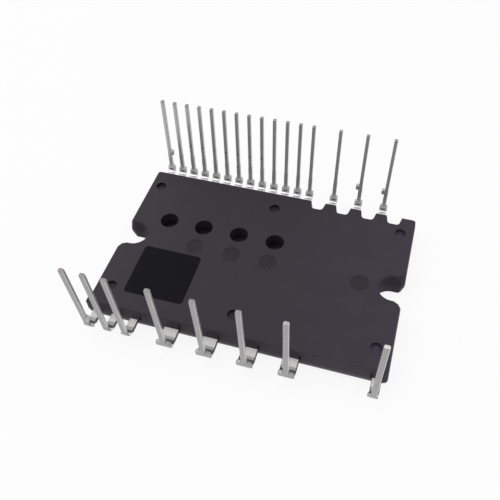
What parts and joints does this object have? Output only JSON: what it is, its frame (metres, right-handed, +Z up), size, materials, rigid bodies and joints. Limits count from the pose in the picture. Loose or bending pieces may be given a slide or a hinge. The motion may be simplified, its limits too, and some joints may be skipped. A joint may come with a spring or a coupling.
{
  "type": "igbt power module",
  "caption": "Moulded dual in-line transistor power module with long bent leads and a screw notch at each end.",
  "frame": {"origin": "centre of the flat heat-sink face, at the base", "axes": "+Z up from the heat-sink face to the lead tips, +X along the long side, +Y to the control leads"},
  "size_m": [0.0382, 0.0305, 0.0146],
  "materials": {
    "resin": "moulded, fine matte",
    "mark": "printed, matte",
    "tinned_lead": "tin plated, satin",
    "copper": "rolled, satin",
    "sheet": "filled resin, matte",
    "silicon": "polished",
    "solder": "satin",
    "aluminium_wire": "drawn",
    "gold_wire": "drawn"
  },
  "bodies": {
    "root": {"aluminium_wires": "aluminium_wire", "chip_solder": "solder", "control_lead_01": "tinned_lead", "control_lead_02": "tinned_lead", "control_lead_03": "tinned_lead", "control_lead_04": "tinned_lead", "control_lead_05": "tinned_lead", "control_lead_06": "tinned_lead", "control_lead_07": "tinned_lead", "control_lead_08": "tinned_lead", "control_lead_09": "tinned_lead", "control_lead_10": "tinned_lead", "control_lead_11": "tinned_lead", "control_lead_12": "tinned_lead", "control_lead_13": "tinned_lead", "control_lead_15": "tinned_lead", "control_lead_17": "tinned_lead", "control_lead_19": "tinned_lead", "control_lead_cut_21": "tinned_lead", "copper_foil": "copper", "diode_high_u": "silicon", "diode_high_v": "silicon", "diode_high_w": "silicon", "diode_low_u": "silicon", "diode_low_v": "silicon", "diode_low_w": "silicon", "driver_high_side": "silicon", "driver_low_side": "silicon", "gold_wires": "gold_wire", "insulating_sheet": "sheet", "mark_field": "mark", "package": "resin", "power_lead_01": "tinned_lead", "power_lead_02": "tinned_lead", "power_lead_03": "tinned_lead", "power_lead_05": "tinned_lead", "power_lead_07": "tinned_lead", "power_lead_09": "tinned_lead", "power_lead_11": "tinned_lead", "power_lead_15": "tinned_lead", "transistor_high_u": "silicon", "transistor_high_v": "silicon", "transistor_high_w": "silicon", "transistor_low_u": "silicon", "transistor_low_v": "silicon", "transistor_low_w": "silicon"}
  },
  "joints": []
}
